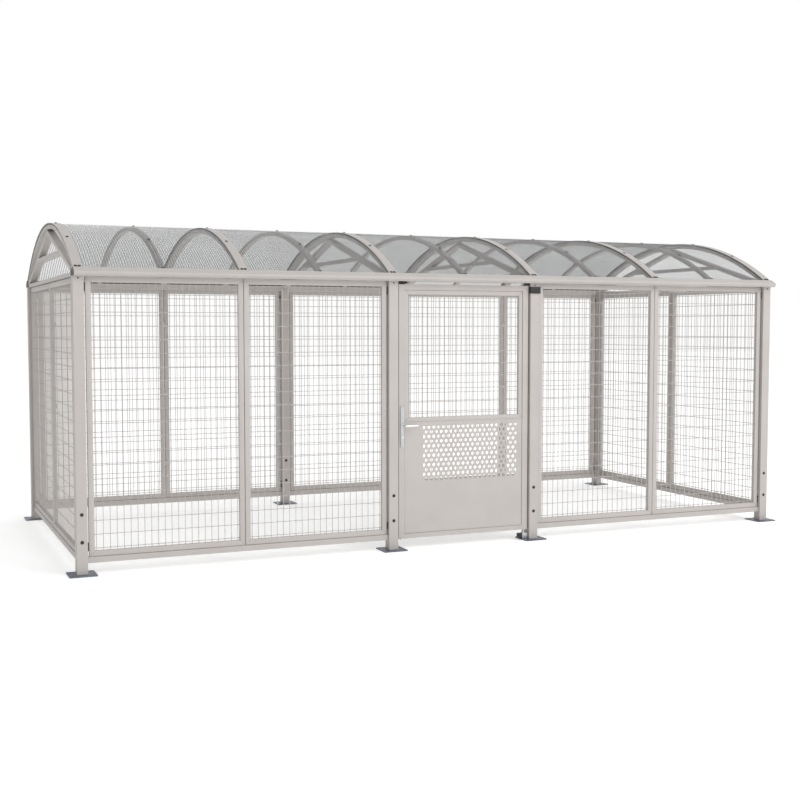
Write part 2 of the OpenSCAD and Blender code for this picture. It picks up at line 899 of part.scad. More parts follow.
// Black cover that wraps the head of the hinge post
module top_pivot_cover() {
  wall = 7;
  face = 12;
  z0 = post_height - 84;
  z1 = post_height - 30;
  x = lines_x[door_line + 1];
  back = door_y - leaf_depth / 2 - seat_gap;
  color(black_plastic)
    difference() {
      box([x - half_post - wall, post_front - face, z0], [x + half_post + wall, back, z1]);
      box([x - half_post, post_front, z0 - 1], [x + half_post, back + 1, z1 + 1]);
    }
}

bottom_body_top = foot_thick + 50;
bottom_body_left = pivot_x - 20;

// Pivot body on the foot plate, with its collar and pin
module bottom_pivot() {
  collar_r = 14;
  color(bright_steel)
    union() {
      box([bottom_body_left, door_y - 22, foot_thick], [hinge_post_face, door_y + 22, bottom_body_top]);
      rod_z(pivot_x, door_y, bottom_body_top - 1, leaf_bottom - leaf_lift, collar_r);
      rod_z(pivot_x, door_y, bottom_body_top, leaf_bottom + pin_bore_depth - 4, pin_r);
    }
}

module bottom_pivot_cap() {
  color(black_plastic)
    box([bottom_body_left - 30, door_y - 24, foot_thick + 2], [bottom_body_left, door_y + 24, bottom_body_top - 4]);
}

// ---------- Drop bolt ----------

knob_drop = 22;

module drop_bolt() {
  color(dark_steel)
    union() {
      rod_z(drop_bolt_x, drop_bolt_y, drop_bolt_tip, drop_bolt_tip + drop_bolt_length, drop_bolt_r);
      rod_y(drop_bolt_x, drop_bolt_tip + drop_bolt_length - knob_drop, drop_bolt_y, drop_bolt_y + 34, 6);
    }
}

// Blocks on the inner face of the leaf that the drop bolt slides in
module drop_bolt_guides() {
  height = 26;
  half = 14;
  color(paint)
    for (z = [leaf_bottom + 40, leaf_bottom + 290])
      difference() {
        box([drop_bolt_x - half, leaf_back, z], [drop_bolt_x + half, drop_bolt_y + half, z + height]);
        rod_z(drop_bolt_x, drop_bolt_y, z - 1, z + height + 1, drop_bolt_r + pin_play);
      }
}

// ---------- Door stop ----------

// Black piece under the eave at the latch side, behind the leaf's head
module door_stop() {
  stop_width = 65;
  stop_thick = 12;
  x0 = leaf_left + 6;
  y0 = leaf_back + 4;
  color(black_plastic)
    union() {
      box([x0, y0, leaf_top - 30], [x0 + stop_width, y0 + stop_thick, post_height]);
      box([x0, door_y - 25, leaf_top + 6], [x0 + stop_width, y0 + 1, post_height]);
    }
}

post(0, -1);  // post_front_left
post(2, -1);  // post_door_latch
post(3, -1);  // post_door_hinge
post(5, -1);  // post_front_right
post(0, 1);  // post_back_left
post(2, 1);  // post_back_mid_left
post(3, 1);  // post_back_mid_right
post(5, 1);  // post_back_right
foot_plates();
post_bolts();
sill_rails();
panel_in_bay(0, -1);  // panel_front_1
panel_in_bay(1, -1);  // panel_front_2
panel_in_bay(3, -1);  // panel_front_3
panel_in_bay(4, -1);  // panel_front_4
panel_in_bay(0, 1);  // panel_back_1
panel_in_bay(1, 1);  // panel_back_2
panel_in_bay(2, 1);  // panel_back_3
panel_in_bay(3, 1);  // panel_back_4
panel_in_bay(4, 1);  // panel_back_5
panel_in_end(0, -1);  // panel_left_front
panel_in_end(0, 1);  // panel_left_back
panel_in_end(5, -1);  // panel_right_front
panel_in_end(5, 1);  // panel_right_back
panel_spacers();
panel_joiners();
eaves();
eave_end_caps();
main_ribs();
middle_ribs();
cover_strips();
roof_sheet(0);  // roof_sheet_1
roof_sheet(1);  // roof_sheet_2
roof_sheet(2);  // roof_sheet_3
roof_sheet(3);  // roof_sheet_4
roof_sheet(4);  // roof_sheet_5
truss_rafters();
truss_collars();
gable_ties();
roof_bolts();
leaf_frame();
leaf_infill();
leaf_sheet();
lock_case();
lock_plates();
lever_outer();
lever_inner();
cylinder_body();
key_plug();
latch_bolt();
dead_bolt();
strike_plate();
top_pivot_arm();
top_pivot_cover();
bottom_pivot();
bottom_pivot_cap();
drop_bolt();
drop_bolt_guides();
door_stop();
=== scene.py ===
"""Free-standing wire kennel cage with a vaulted clear roof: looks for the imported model."""

import json
import math

import bmesh
import bpy
from mathutils import Matrix, Vector


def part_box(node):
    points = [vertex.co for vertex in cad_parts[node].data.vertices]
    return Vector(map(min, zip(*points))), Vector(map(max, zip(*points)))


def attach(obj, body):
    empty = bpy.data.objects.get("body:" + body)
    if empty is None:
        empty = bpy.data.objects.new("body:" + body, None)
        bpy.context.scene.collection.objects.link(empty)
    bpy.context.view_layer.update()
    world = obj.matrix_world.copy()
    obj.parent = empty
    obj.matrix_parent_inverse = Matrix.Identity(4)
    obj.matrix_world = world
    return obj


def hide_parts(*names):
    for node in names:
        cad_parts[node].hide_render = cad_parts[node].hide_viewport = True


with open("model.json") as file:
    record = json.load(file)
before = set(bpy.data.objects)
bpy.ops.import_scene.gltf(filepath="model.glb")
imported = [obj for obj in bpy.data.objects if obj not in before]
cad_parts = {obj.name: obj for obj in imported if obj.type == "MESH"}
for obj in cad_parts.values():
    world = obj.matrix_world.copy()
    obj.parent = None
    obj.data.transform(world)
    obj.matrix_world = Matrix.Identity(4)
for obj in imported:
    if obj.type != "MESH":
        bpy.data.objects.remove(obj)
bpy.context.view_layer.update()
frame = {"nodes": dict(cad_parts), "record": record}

bl_info = {
    "name": "Kennel Cage",
    "version": (1, 0, 0),
    "blender": (4, 5, 0),
    "location": "View3D > Sidebar > Kennel Cage",
    "description": "Builds the visible pieces of a wire kennel cage on its packed frame",
    "category": "Add Mesh",
}

POSTS = [name for name in frame["nodes"] if name.startswith("post_") and name != "post_bolts"]
PANELS = [name for name in frame["nodes"]
          if name.startswith("panel_") and name not in ("panel_spacers", "panel_joiners")]
SHEETS = [name for name in frame["nodes"] if name.startswith("roof_sheet_")]


# ---------- Sizes and colours ----------

def length(name, text, default):
    return bpy.props.FloatProperty(
        name=name, description=text, default=default, min=0.0, unit="LENGTH", precision=5)


def colour(name, text, default):
    return bpy.props.FloatVectorProperty(
        name=name, description=text, default=default, size=3, min=0.0, max=1.0, subtype="COLOR")


class CageSizes(bpy.types.PropertyGroup):
    wire_size: length("Wire", "Diameter of the mesh wires", 0.005)
    wire_pitch_x: length("Upright wire pitch", "Distance between upright wires", 0.05)
    wire_pitch_z: length("Level wire pitch", "Distance between level wires", 0.1)
    panel_bar: length("Panel bar", "Visible width of a wall panel's bars", 0.04)
    infill_bar: length("Infill bar", "Visible width of the door infill's bars", 0.035)
    first_wire: length("First wire", "Height of the lowest level wire above a wall panel's foot", 0.057)
    edge: length("Tube corner", "Rounding of the tube corners", 0.0025)
    flute_pitch: length("Flute pitch", "Distance between the webs of the twin-wall roof sheets", 0.02)
    skin: length("Skin", "Thickness of the two skins of a roof sheet", 0.0008)
    web: length("Web", "Thickness of the webs of a roof sheet", 0.004)
    bolt_head: length("Roof bolt head", "Radius of the roof bolt heads", 0.008)
    bolt_pair: length("Roof bolt pair", "Distance between the two bolts at a cover strip's foot", 0.026)
    foot_bolt_low: length("Lower foot bolt", "Height of the lower bolts through the posts", 0.24)
    foot_bolt_high: length("Upper foot bolt", "Height of the upper bolts through the posts", 0.44)
    top_bolt_drop: length("Top bolt", "Distance from a post's top down to its top bolt", 0.016)
    lever_grip: length("Lever grip", "Radius of the lever's grip", 0.009)


class CageColours(bpy.types.PropertyGroup):
    paint: colour("Paint", "Powder coat on the steel frame", (0.450, 0.422, 0.402))
    zinc: colour("Zinc", "Galvanised foot plates", (0.135, 0.155, 0.185))
    bolt: colour("Bolts", "Dark bolts and spacer blocks", (0.045, 0.042, 0.042))
    black: colour("Black trim", "Covers, caps and door stop", (0.012, 0.012, 0.013))
    sheet: colour("Roof sheet", "Smoky clear roof sheets", (0.13, 0.14, 0.14))
    steel: colour("Lock steel", "Brushed steel of the lock and pivots", (0.50, 0.51, 0.52))
    chrome: colour("Chrome", "Polished lever and key cylinder", (0.70, 0.72, 0.74))
    floor: colour("Floor", "Studio floor", (0.88, 0.88, 0.88))


def sizes():
    return bpy.context.scene.cage_sizes


def colours():
    return bpy.context.scene.cage_colours


# ---------- Materials ----------

class Finish:
    """A material under construction, with short ways to add and join its nodes."""

    def __init__(self, name):
        self.material = bpy.data.materials.new(name)
        self.material.use_nodes = True
        self.tree = self.material.node_tree
        self.shader = self.tree.nodes["Principled BSDF"]
        self.place = self.node("ShaderNodeTexCoord").outputs["Object"]

    def node(self, kind, **facts):
        made = self.tree.nodes.new(kind)
        for key, value in facts.items():
            setattr(made, key, value)
        return made

    def set(self, **values):
        for key, value in values.items():
            self.shader.inputs[key.replace("_", " ")].default_value = value

    def noise(self, scale, detail=3.0, roughness=0.5, place=None):
        made = self.node("ShaderNodeTexNoise")
        made.inputs["Scale"].default_value = scale
        made.inputs["Detail"].default_value = detail
        made.inputs["Roughness"].default_value = roughness
        self.tree.links.new(place or self.place, made.inputs["Vector"])
        return made.outputs["Fac"]

    def stretched(self, x, y, z):
        made = self.node("ShaderNodeMapping")
        made.inputs["Scale"].default_value = (x, y, z)
        self.tree.links.new(self.place, made.inputs["Vector"])
        return made.outputs["Vector"]

    def ramp(self, value, low, high, low_at=0.3, high_at=0.7):
        made = self.node("ShaderNodeValToRGB")
        made.color_ramp.elements[0].position = low_at
        made.color_ramp.elements[1].position = high_at
        made.color_ramp.elements[0].color = (*low, 1.0)
        made.color_ramp.elements[1].color = (*high, 1.0)
        self.tree.links.new(value, made.inputs["Fac"])
        return made.outputs["Color"]

    def range(self, value, low, high):
        made = self.node("ShaderNodeMapRange")
        made.inputs["From Min"].default_value = 0.3
        made.inputs["From Max"].default_value = 0.7
        made.inputs["To Min"].default_value = low
        made.inputs["To Max"].default_value = high
        self.tree.links.new(value, made.inputs["Value"])
        return made.outputs["Result"]

    def join(self, value, socket):
        self.tree.links.new(value, self.shader.inputs[socket])

    def bump(self, value, distance, strength=1.0):
        made = self.node("ShaderNodeBump")
        made.inputs["Distance"].default_value = distance
        made.inputs["Strength"].default_value = strength
        self.tree.links.new(value, made.inputs["Height"])
        self.tree.links.new(made.outputs["Normal"], self.shader.inputs["Normal"])


def shade(tone, factor):
    return tuple(min(1.0, channel * factor) for channel in tone)


def powder_coat():
    tone = tuple(colours().paint)
    finish = Finish("powder_coat")
    mottle = finish.noise(3.5, 5.0, 0.6)
    finish.join(finish.ramp(mottle, shade(tone, 0.96), shade(tone, 1.04)), "Base Color")
    finish.join(finish.range(finish.noise(60.0, 2.0), 0.42, 0.52), "Roughness")
    finish.set(Specular_IOR_Level=0.45)
    finish.bump(finish.noise(900.0, 2.0), 0.00012, 0.5)
    return finish.material


def galvanised():
    tone = tuple(colours().zinc)
    finish = Finish("galvanised")
    spangle = finish.node("ShaderNodeTexVoronoi")
    spangle.inputs["Scale"].default_value = 85.0
    finish.tree.links.new(finish.place, spangle.inputs["Vector"])
    grey = finish.node("ShaderNodeRGBToBW")
    finish.tree.links.new(spangle.outputs["Color"], grey.inputs["Color"])
    finish.join(finish.ramp(grey.outputs["Val"], shade(tone, 0.75), shade(tone, 1.45), 0.2, 0.85),
                "Base Color")
    finish.join(finish.range(grey.outputs["Val"], 0.34, 0.56), "Roughness")
    finish.set(Metallic=0.65)
    finish.bump(finish.noise(300.0), 0.0002, 0.6)
    return finish.material


def dark_steel():
    tone = tuple(colours().bolt)
    finish = Finish("dark_steel")
    finish.join(finish.ramp(finish.noise(140.0), shade(tone, 0.7), shade(tone, 1.6)), "Base Color")
    finish.join(finish.range(finish.noise(220.0), 0.32, 0.5), "Roughness")
    finish.set(Metallic=0.7)
    return finish.material


def black_plastic():
    tone = tuple(colours().black)
    finish = Finish("black_plastic")
    finish.join(finish.ramp(finish.noise(30.0), shade(tone, 0.8), shade(tone, 1.5)), "Base Color")
    finish.set(Roughness=0.48)
    finish.bump(finish.noise(1600.0, 1.0), 0.0001, 0.5)
    return finish.material


def smoky_sheet():
    tone = tuple(colours().sheet)
    finish = Finish("smoky_sheet")
    along = finish.noise(9.0, 4.0, 0.6, finish.stretched(0.7, 0.25, 0.25))
    finish.join(finish.ramp(along, shade(tone, 0.85), shade(tone, 1.25)), "Base Color")
    finish.join(finish.range(finish.noise(14.0), 0.10, 0.22), "Roughness")
    finish.set(Alpha=0.085, Specular_IOR_Level=0.6)
    return finish.material


def sheet_web():
    tone = tuple(colours().sheet)
    finish = Finish("sheet_web")
    finish.join(finish.ramp(finish.noise(20.0), shade(tone, 1.0), shade(tone, 1.3)), "Base Color")
    finish.set(Alpha=0.5, Roughness=0.3)
    return finish.material


def brushed_steel():
    tone = tuple(colours().steel)
    finish = Finish("brushed_steel")
    brush = finish.noise(240.0, 4.0, 0.7, finish.stretched(1.0, 1.0, 0.05))
    finish.join(finish.ramp(brush, shade(tone, 0.88), shade(tone, 1.1)), "Base Color")
    finish.join(finish.range(brush, 0.26, 0.40), "Roughness")
    finish.set(Metallic=1.0)
    finish.bump(brush, 0.00005, 0.5)
    return finish.material


def polished_chrome():
    tone = tuple(colours().chrome)
    finish = Finish("polished_chrome")
    finish.join(finish.ramp(finish.noise(12.0), shade(tone, 0.96), shade(tone, 1.03)), "Base Color")
    finish.join(finish.range(finish.noise(55.0, 4.0, 0.7), 0.08, 0.18), "Roughness")
    finish.set(Metallic=1.0)
    return finish.material


MAKERS = {
    "paint": powder_coat,
    "zinc": galvanised,
    "dark_bolts": dark_steel,
    "black_trim": black_plastic,
    "clear_sheet": smoky_sheet,
    "lock_steel": brushed_steel,
    "chrome": polished_chrome,
}


def finish_for(slot):
    """The material for one slot of the record, made the first time it is asked for."""
    maker = MAKERS[slot]
    return bpy.data.materials.get(maker.__name__) or maker()


def slot_of(node):
    for row in frame["record"]["subparts"]:
        if row["node"] == node:
            return row["material_slot"]
    raise RuntimeError(f"the record has no slot for {node}")


def body_with(node):
    for body, members in frame["record"]["behaviour"]["bodies"].items():
        if node in members:
            return body
    raise RuntimeError(f"no body holds {node}")


# ---------- Shapes ----------

class Shape:
    """A mesh under construction, in metres, made of closed solids."""

    def __init__(self):
        self.mesh = bmesh.new()
        self.tag = 0

    def solid(self, points, faces, rounding=0.0, steps=2):
        """A closed solid with its sharp edges rounded."""
        corners = [self.mesh.verts.new(p) for p in points]
        made = [self.mesh.faces.new([corners[i] for i in face]) for face in faces]
        for face in made:
            face.material_index = self.tag
        if rounding > 0.0:
            edges = {edge for face in made for edge in face.edges if self.is_sharp(edge)}
            bmesh.ops.bevel(self.mesh, geom=list(edges), offset=rounding, offset_type="OFFSET",
                            segments=steps, profile=0.5, affect="EDGES", clamp_overlap=True, material=-1)
        return made

    @staticmethod
    def is_sharp(edge):
        edge.link_faces[0].normal_update()
        edge.link_faces[1].normal_update()
        return edge.calc_face_angle(0.0) > math.radians(25)

    def block(self, low, high, rounding=0.0, steps=2):
        (x0, y0, z0), (x1, y1, z1) = low, high
        points = [(x0, y0, z0), (x1, y0, z0), (x1, y1, z0), (x0, y1, z0),
                  (x0, y0, z1), (x1, y0, z1), (x1, y1, z1), (x0, y1, z1)]
        faces = [(0, 3, 2, 1), (4, 5, 6, 7), (0, 1, 5, 4), (1, 2, 6, 5), (2, 3, 7, 6), (3, 0, 4, 7)]
        return self.solid(points, faces, rounding, steps)

    def prism(self, outline, place, depth, rounding=0.0, steps=2):
        """An outline of (u, v) points pushed along w. place turns (u, v, w) into a point."""
        count = len(outline)
        points = [place(u, v, w) for w in (0.0, depth) for u, v in outline]
        faces = [tuple(reversed(range(count))), tuple(range(count, 2 * count))]
        faces += [(i, (i + 1) % count, count + (i + 1) % count, count + i) for i in range(count)]
        return self.solid(points, faces, rounding, steps)

    def sweep(self, path, radii, sides=16):
        """A round bar through the points of path, closed at both ends."""
        rings = []
        path = [Vector(p) for p in path]
        side = None
        for i, point in enumerate(path):
            along = (path[min(i + 1, len(path) - 1)] - path[max(i - 1, 0)]).normalized()
            if side is None:
                side = along.orthogonal().normalized()
            side = (side - along * side.dot(along)).normalized()
            other = along.cross(side)
            ring = []
            for k in range(sides):
                a = 2 * math.pi * k / sides
                outward = side * math.cos(a) + other * math.sin(a)
                ring.append(self.mesh.verts.new(point + outward * radii[i]))
            rings.append(ring)
        self.skin(rings)

    def skin(self, rings):
        sides = len(rings[0])
        made = [self.mesh.faces.new(list(reversed(rings[0]))), self.mesh.faces.new(rings[-1])]
        for low, high in zip(rings, rings[1:]):
            for k in range(sides):
                after = (k + 1) % sides
                made.append(self.mesh.faces.new((low[k], low[after], high[after], high[k])))
        for face in made:
            face.material_index = self.tag

    def turned(self, profile, place, sides=24):
        """A turned piece from (radius, height) pairs. place turns (u, v, height) into a point."""
        rings = []
        for radius, height in profile:
            ring = []
            for k in range(sides):
                a = 2 * math.pi * k / sides
                ring.append(self.mesh.verts.new(place(radius * math.cos(a), radius * math.sin(a), height)))
            rings.append(ring)
        self.skin(rings)

    def finish(self, name, materials, body, slot, nodes=(), smooth_under=35.0):
        """Turns the mesh into a piece that rides on a body and stands for CAD nodes."""
        bmesh.ops.recalc_face_normals(self.mesh, faces=self.mesh.faces)
        for face in self.mesh.faces:
            face.smooth = True
        for edge in self.mesh.edges:
            edge.smooth = len(edge.link_faces) == 2 and edge.calc_face_angle(0.0) < math.radians(smooth_under)
        data = bpy.data.meshes.new(name)
        self.mesh.to_mesh(data)
        self.mesh.free()
        for material in materials:
            data.materials.append(material)
        piece = bpy.data.objects.new(name, data)
        bpy.context.scene.collection.objects.link(piece)
        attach(piece, body)
        if nodes:
            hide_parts(*nodes)
        return piece


def mitred_frame(shape, place, width, height, bar, depth, rounding):
    """Four mitred bars round an opening. place turns (u, v, w) into a point, w through the depth."""
    inner_u, inner_v = width - bar, height - bar
    seam = 0.0002
    bars = [
        [(seam, 0.0), (width - seam, 0.0), (inner_u - seam, bar), (bar + seam, bar)],
        [(width, seam), (width, height - seam), (inner_u, inner_v - seam), (inner_u, bar + seam)],
        [(width - seam, height), (seam, height), (bar + seam, inner_v), (inner_u - seam, inner_v)],
        [(0.0, height - seam), (0.0, seam), (bar, bar + seam), (bar, inner_v - seam)],
    ]
    for outline in bars:
        shape.prism(outline, place, depth, rounding)


def wire_grid(shape, place, width, height, bar, depth, first):
    """Welded wires across a frame's opening, upright ones in front of the level ones."""
    s = sizes()
    radius = s.wire_size / 2
    offset = radius * 0.97
    mid = depth / 2
    bite = 0.002
    open_w = width - 2 * bar
    uprights = int((open_w - 2 * s.wire_size) / s.wire_pitch_x)
    levels = int((height - bar - s.wire_size - first) / s.wire_pitch_z)
    start = (width - uprights * s.wire_pitch_x) / 2
    for k in range(uprights + 1):
        u = start + k * s.wire_pitch_x
        shape.sweep([place(u, bar - bite, mid - offset), place(u, height - bar + bite, mid - offset)],
                    [radius, radius], 10)
    for k in range(levels + 1):
        v = first + k * s.wire_pitch_z
        shape.sweep([place(bar - bite, v, mid + offset), place(width - bar + bite, v, mid + offset)],
                    [radius, radius], 10)


def roof_arc():
    """The roof's axis height and the radius of the sheets' upper face, from the CAD boxes."""
    low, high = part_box("roof_sheet_3")
    thick = 0.01
    rise = high.z - low.z
    reach = high.y
    radius = (rise * rise - thick * thick + reach * reach) / (2 * (rise - thick))
    return high.z - radius, radius, thick, reach


# ---------- Pieces ----------

class CAGE_OT_cad_finishes(bpy.types.Operator):
    """Gives each CAD node its finish"""
    bl_idname = "cage.cad_finishes"
    bl_label = "CAD finishes"

    def execute(self, context):
        for name, node in frame["nodes"].items():
            node.data.materials.clear()
            node.data.materials.append(finish_for(slot_of(name)))
        return {"FINISHED"}


class CAGE_OT_wall_panels(bpy.types.Operator):
    """Framed wire panels of the walls"""
    bl_idname = "cage.wall_panels"
    bl_label = "Wall panels"

    def execute(self, context):
        s = sizes()
        for node in PANELS:
            low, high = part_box(node)
            size = high - low
            shape = Shape()
            if size.x > size.y:
                facing = 1 if low.y < 0 else -1
                origin_y = low.y if facing > 0 else high.y

                def place(u, v, w, low=low, y=origin_y, facing=facing):
                    return (low.x + u, y + facing * w, low.z + v)
                width, depth = size.x, size.y
            else:
                facing = 1 if low.x < 0 else -1
                origin_x = low.x if facing > 0 else high.x

                def place(u, v, w, low=low, x=origin_x, facing=facing):
                    return (x + facing * w, low.y + u, low.z + v)
                width, depth = size.y, size.x
            mitred_frame(shape, place, width, size.z, s.panel_bar, depth, s.edge)
            wire_grid(shape, place, width, size.z, s.panel_bar, depth, s.first_wire)
            shape.finish("wire_" + node, [finish_for("paint")], body_with(node), "paint", [node])
        return {"FINISHED"}


class CAGE_OT_door_infill(bpy.types.Operator):
    """Framed wire infill in the upper half of the door"""
    bl_idname = "cage.door_infill"
    bl_label = "Door infill"

    def execute(self, context):
        s = sizes()
        low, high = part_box("leaf_infill")
        size = high - low
        panel_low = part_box("panel_front_2")[0]
        wire_zero = panel_low.z + s.first_wire
        first = (wire_zero - low.z) % s.wire_pitch_z
        if first <= s.infill_bar + s.wire_size:
            first += s.wire_pitch_z
        shape = Shape()

        def place(u, v, w):
            return (low.x + u, low.y + w, low.z + v)
        mitred_frame(shape, place, size.x, size.z, s.infill_bar, size.y, s.edge)
        wire_grid(shape, place, size.x, size.z, s.infill_bar, size.y, first)
        shape.finish("wire_leaf_infill", [finish_for("paint")], body_with("leaf_infill"), "paint",
                     ["leaf_infill"])
        return {"FINISHED"}


class CAGE_OT_roof_sheets(bpy.types.Operator):
    """Curved twin-wall sheets with webs along the curve"""
    bl_idname = "cage.roof_sheets"
    bl_label = "Roof sheets"

    def execute(self, context):
        s = sizes()
        axis_z, outer, thick, reach = roof_arc()
        inner = outer - thick
        stations = 36
        for node in SHEETS:
            low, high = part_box(node)
            flutes = max(4, round((high.x - low.x) / s.flute_pitch))
            pitch = (high.x - low.x) / flutes
            columns = []
            for k in range(flutes + 1):
                centre = low.x + k * pitch
                left = low.x if k == 0 else centre - s.web / 2
                right = high.x if k == flutes else centre + s.web / 2
                if k == 0:
                    right = low.x + s.web
                if k == flutes:
                    left = high.x - s.web
                columns += [left, right]
            rows = [inner, inner + s.skin, outer - s.skin, outer]
            shape = Shape()
            grid = []
            for i in range(stations + 1):
                share = -1 + 2 * i / stations
                ring = []
                for r in rows:
                    a = share * math.asin(reach / r)
                    ring.append([shape.mesh.verts.new((x, r * math.sin(a), axis_z + r * math.cos(a)))
                                 for x in columns])
                grid.append(ring)
            last = len(columns) - 1

            # Material 1 marks the edges and ends, and the skins where a web joins them
            def quad(a, b, c, d, joined):
                face = shape.mesh.faces.new((a, b, c, d))
                face.material_index = 1 if joined else 0
            for i in range(stations):
                here, there = grid[i], grid[i + 1]
                for c in range(last):
                    for r in (0, 3):
                        quad(here[r][c], here[r][c + 1], there[r][c + 1], there[r][c], c % 2 == 0)
                    if c % 2 == 1:
                        for r in (1, 2):
                            quad(here[r][c], here[r][c + 1], there[r][c + 1], there[r][c], False)
                        quad(here[1][c], here[2][c], there[2][c], there[1][c], False)
                        quad(here[1][c + 1], here[2][c + 1], there[2][c + 1], there[1][c + 1], False)
                for c in (0, last):
                    for r in range(3):
                        quad(here[r][c], here[r + 1][c], there[r + 1][c], there[r][c], True)
            for end in (grid[0], grid[-1]):
                for c in range(last):
                    for r in range(3):
                        if r == 1 and c % 2 == 1:
                            continue
                        quad(end[r][c], end[r][c + 1], end[r + 1][c + 1], end[r + 1][c], True)
            web = bpy.data.materials.get("sheet_web") or sheet_web()
            shape.finish("fluted_" + node, [finish_for("clear_sheet"), web], body_with(node), "clear_sheet",
                         [node], smooth_under=20.0)
        return {"FINISHED"}


def roof_lines():
    """The post and panel lines along the length, from the posts and the panels beside them."""
    lines = []
    for node in ("post_front_left", "post_door_latch", "post_door_hinge", "post_front_right"):
        low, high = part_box(node)
        lines.append((low.x + high.x) / 2)
    for a, b in (("panel_front_1", "panel_front_2"), ("panel_front_3", "panel_front_4")):
        lines.append((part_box(a)[1].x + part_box(b)[0].x) / 2)
    return sorted(lines)


class CAGE_OT_strip_gaskets(bpy.types.Operator):
    """Black rubber gaskets along both edges of each roof cover strip"""
    bl_idname = "cage.strip_gaskets"
    bl_label = "Strip gaskets"

    def execute(self, context):
        axis_z, outer, _, reach = roof_arc()
        low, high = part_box("cover_strips")
        lines = roof_lines()
        half = lines[0] - low.x
        stations = 40
        shape = Shape()
        for line in lines:
            for side in (-1, 1):
                edges = sorted((line + side * (half - 0.0015), line + side * (half + 0.002)))
                x0, x1 = max(edges[0], low.x), min(edges[1], high.x)
                rings = []
                for i in range(stations + 1):
                    a = (-1 + 2 * i / stations) * math.asin((reach - 0.002) / outer)
                    ring = []
                    under, over = outer + 0.00005, outer + 0.0015
                    for x, r in ((x0, under), (x1, under), (x1, over), (x0, over)):
                        ring.append(shape.mesh.verts.new((x, r * math.sin(a), axis_z + r * math.cos(a))))
                    rings.append(ring)
                shape.skin(rings)
        shape.finish("strip_gaskets", [finish_for("black_trim")], "frame", "black_trim")
        return {"FINISHED"}


class CAGE_OT_eave_lips(bpy.types.Operator):
    """Black strips along the inner edges of the eaves, between the ribs, as painted shade in the dark hollow
    under the roof sheets
    """
    bl_idname = "cage.eave_lips"
    bl_label = "Eave painted shade"

    def execute(self, context):
        axis_z = roof_arc()[0]
        main_low, main_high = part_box("main_ribs")
        middle_low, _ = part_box("middle_ribs")
        lines = roof_lines()
        main_half = lines[0] - main_low.x
        middle_half = (lines[0] + lines[1]) / 2 - middle_low.x
        post_low, post_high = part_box("post_back_left")
        eave_in = 0.04
        rib_depth = 0.031
        inner = (post_low.y + post_high.y) / 2 - eave_in
        seat = main_high.z - axis_z - rib_depth
        shape = Shape()
        gap = 0.0015
        for a, b in zip(lines, lines[1:]):
            middle = (a + b) / 2
            left_bay = (a + main_half + gap, middle - middle_half - gap)
            right_bay = (middle + middle_half + gap, b - main_half - gap)
            for x0, x1 in (left_bay, right_bay):
                for side in (-1, 1):
                    y0, y1 = inner - 0.003, inner + 0.007
                    ledge = axis_z + math.sqrt(seat ** 2 - inner ** 2) + 0.0006
                    outline = [(y0, ledge - 0.010), (inner - 0.0006, ledge - 0.010), (inner - 0.0006, ledge),
                               (y1, ledge), (y1, ledge + 0.004), (y0, ledge + 0.004)]
                    # Each black strip is painted shade: it stands for the shadow in the hollow between the
                    # eave's ledge and the roof sheet
                    shape.prism(outline, lambda u, v, w, x0=x0, side=side: (x0 + w, side * u, v), x1 - x0)
        shape.finish("eave_painted_shade", [finish_for("black_trim")], "frame", "black_trim")
        return {"FINISHED"}


def upright(x, y, z):
    return lambda u, v, w: (x + u, y + v, z + w)


class CAGE_OT_post_bolts(bpy.types.Operator):
    """Hexagon bolts with washers through the posts"""
    bl_idname = "cage.post_bolts"
    bl_label = "Post bolts"

    def execute(self, context):
        shape = Shape()
        s = sizes()
        for node in POSTS:
            low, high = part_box(node)
            x, y = (low.x + high.x) / 2, (low.y + high.y) / 2
            side = -1 if y < 0 else 1
            face, back = (low.y, high.y) if side < 0 else (high.y, low.y)
            for z in (s.foot_bolt_low, s.foot_bolt_high):
                def front(u, v, w, x=x, z=z, face=face, side=side):
                    return (x + u, face + side * w, z + v)

                def rear(u, v, w, x=x, z=z, back=back, side=side):
                    return (x + u, back - side * w, z + v)
                bolt_head(shape, front, 0.0092, 0.0062)
                bolt_head(shape, rear, 0.0092, 0.0080, shank=0.004)
                shape.turned([(0.0058, 0.001 - (high.y - low.y)), (0.0058, -0.001)], front, 16)

            def top(u, v, w, x=x, z=high.z - s.top_bolt_drop, face=face, side=side):
                return (x + u, face + side * w, z + v)
            dome(shape, top, 0.006, 0.0034, 0.0)
        shape.finish("hex_post_bolts", [finish_for("dark_bolts")], "frame", "dark_bolts", ["post_bolts"])
        return {"FINISHED"}


def bolt_head(shape, place, across, height, shank=0.0):
    """A chamfered hexagon on a washer, with a stub of thread past it if asked."""
    shape.turned([(across + 0.0035, 0.0), (across + 0.0040, 0.0004), (across + 0.0036, 0.0014),
                  (across, 0.0015)], place, 28)
    rings = []
    for grow, w in ((1.0, 0.0013), (1.0, height * 0.8), (0.86, height)):
        rings.append([shape.mesh.verts.new(place(across * grow * math.cos(math.radians(60 * k + 30)),
                                                 across * grow * math.sin(math.radians(60 * k + 30)), w))
                      for k in range(6)])
    shape.skin(rings)
    if shank > 0.0:
        shape.turned([(0.0055, height - 0.001), (0.0055, height + shank - 0.001),
                      (0.0045, height + shank)], place, 16)


def dome(shape, place, radius, height, washer):
    """A low domed head on a sealing washer."""
    if washer > 0.0:
        shape.turned([(radius + 0.0045, 0.0), (radius + 0.0048, washer * 0.5),
                      (radius + 0.0035, washer)], place, 24)
    profile = [(radius, max(0.0, washer - 0.0003))]
    for k in range(1, 6):
        a = math.radians(90.0 * k / 6)
        profile.append((radius * math.cos(a), washer + height * math.sin(a)))
    profile += [(radius * 0.26, washer + height), (radius * 0.22, washer + height * 0.6)]
    shape.turned(profile, place, 24)


